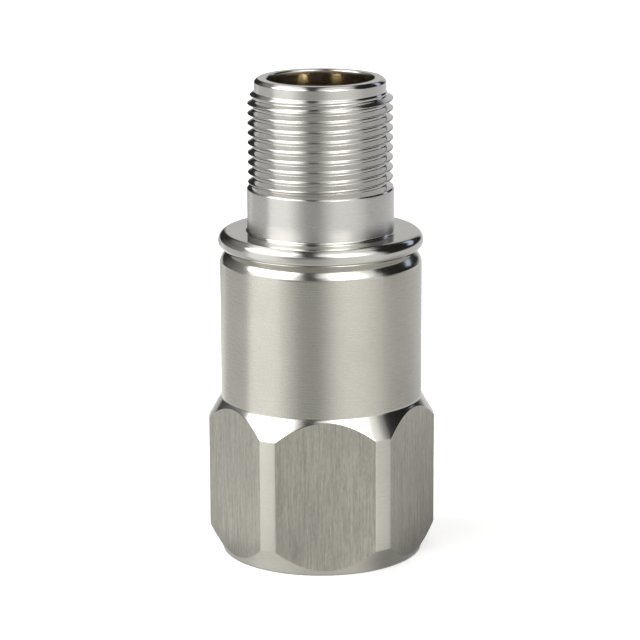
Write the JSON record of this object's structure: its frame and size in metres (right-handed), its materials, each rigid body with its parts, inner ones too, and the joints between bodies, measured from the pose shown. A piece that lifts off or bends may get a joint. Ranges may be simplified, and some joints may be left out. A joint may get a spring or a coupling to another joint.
{
  "type": "vibration sensor",
  "caption": "Stainless steel vibration sensor with a hexagonal base, a round barrel, a rounded flange and a threaded pin connector on top; the sensing element and its board are inside.",
  "frame": {"origin": "centre of the flat mounting face at the bottom of the hexagonal base", "axes": "+Z along the sensor's axis, towards the connector; two opposite flats of the hexagon face -Y and +Y; the contact pins lie on the X axis"},
  "size_m": [0.0246, 0.0222, 0.052],
  "materials": {
    "housing_steel": "stainless steel: milled flats with a fine vertical grain, finely turned barrel, polished turned cones",
    "connector_steel": "stainless steel, bright turned",
    "sealing_glass": "dark sealing glass, fused, glossy",
    "gold_plate": "gold plate, bright",
    "white_ceramic": "ground alumina, matt",
    "piezo_ceramic": "ground piezoceramic, matt",
    "inner_steel": "turned steel",
    "nickel_plate": "nickel plate, satin",
    "tungsten_alloy": "turned tungsten alloy, dark grey",
    "white_polymer": "white fluoropolymer, satin",
    "board_laminate": "green solder mask over glass laminate",
    "black_moulding": "moulded, matt",
    "yellow_moulding": "moulded, matt",
    "black_insulation": "extruded insulation, satin",
    "red_insulation": "extruded insulation, satin"
  },
  "bodies": {
    "root": {"hex_housing": "housing_steel", "connector_shell": "connector_steel", "glass_seal": "sealing_glass", "contact_pin_a": "gold_plate", "contact_pin_b": "gold_plate", "isolation_disc": "white_ceramic", "sensor_base": "inner_steel", "piezo_ring_lower": "piezo_ceramic", "piezo_ring_upper": "piezo_ceramic", "signal_electrode": "nickel_plate", "insulating_sleeve": "white_polymer", "seismic_mass": "tungsten_alloy", "preload_washer": "inner_steel", "preload_bolt": "inner_steel", "shield_can": "nickel_plate", "board_spacer": "white_polymer", "circuit_board": "board_laminate", "amplifier_chip": "black_moulding", "capacitor_a": "yellow_moulding", "capacitor_b": "yellow_moulding", "resistor_a": "black_moulding", "resistor_b": "black_moulding", "signal_wire": "white_polymer", "ground_wire": "black_insulation", "pin_lead_a": "red_insulation", "pin_lead_b": "black_insulation"}
  },
  "joints": []
}
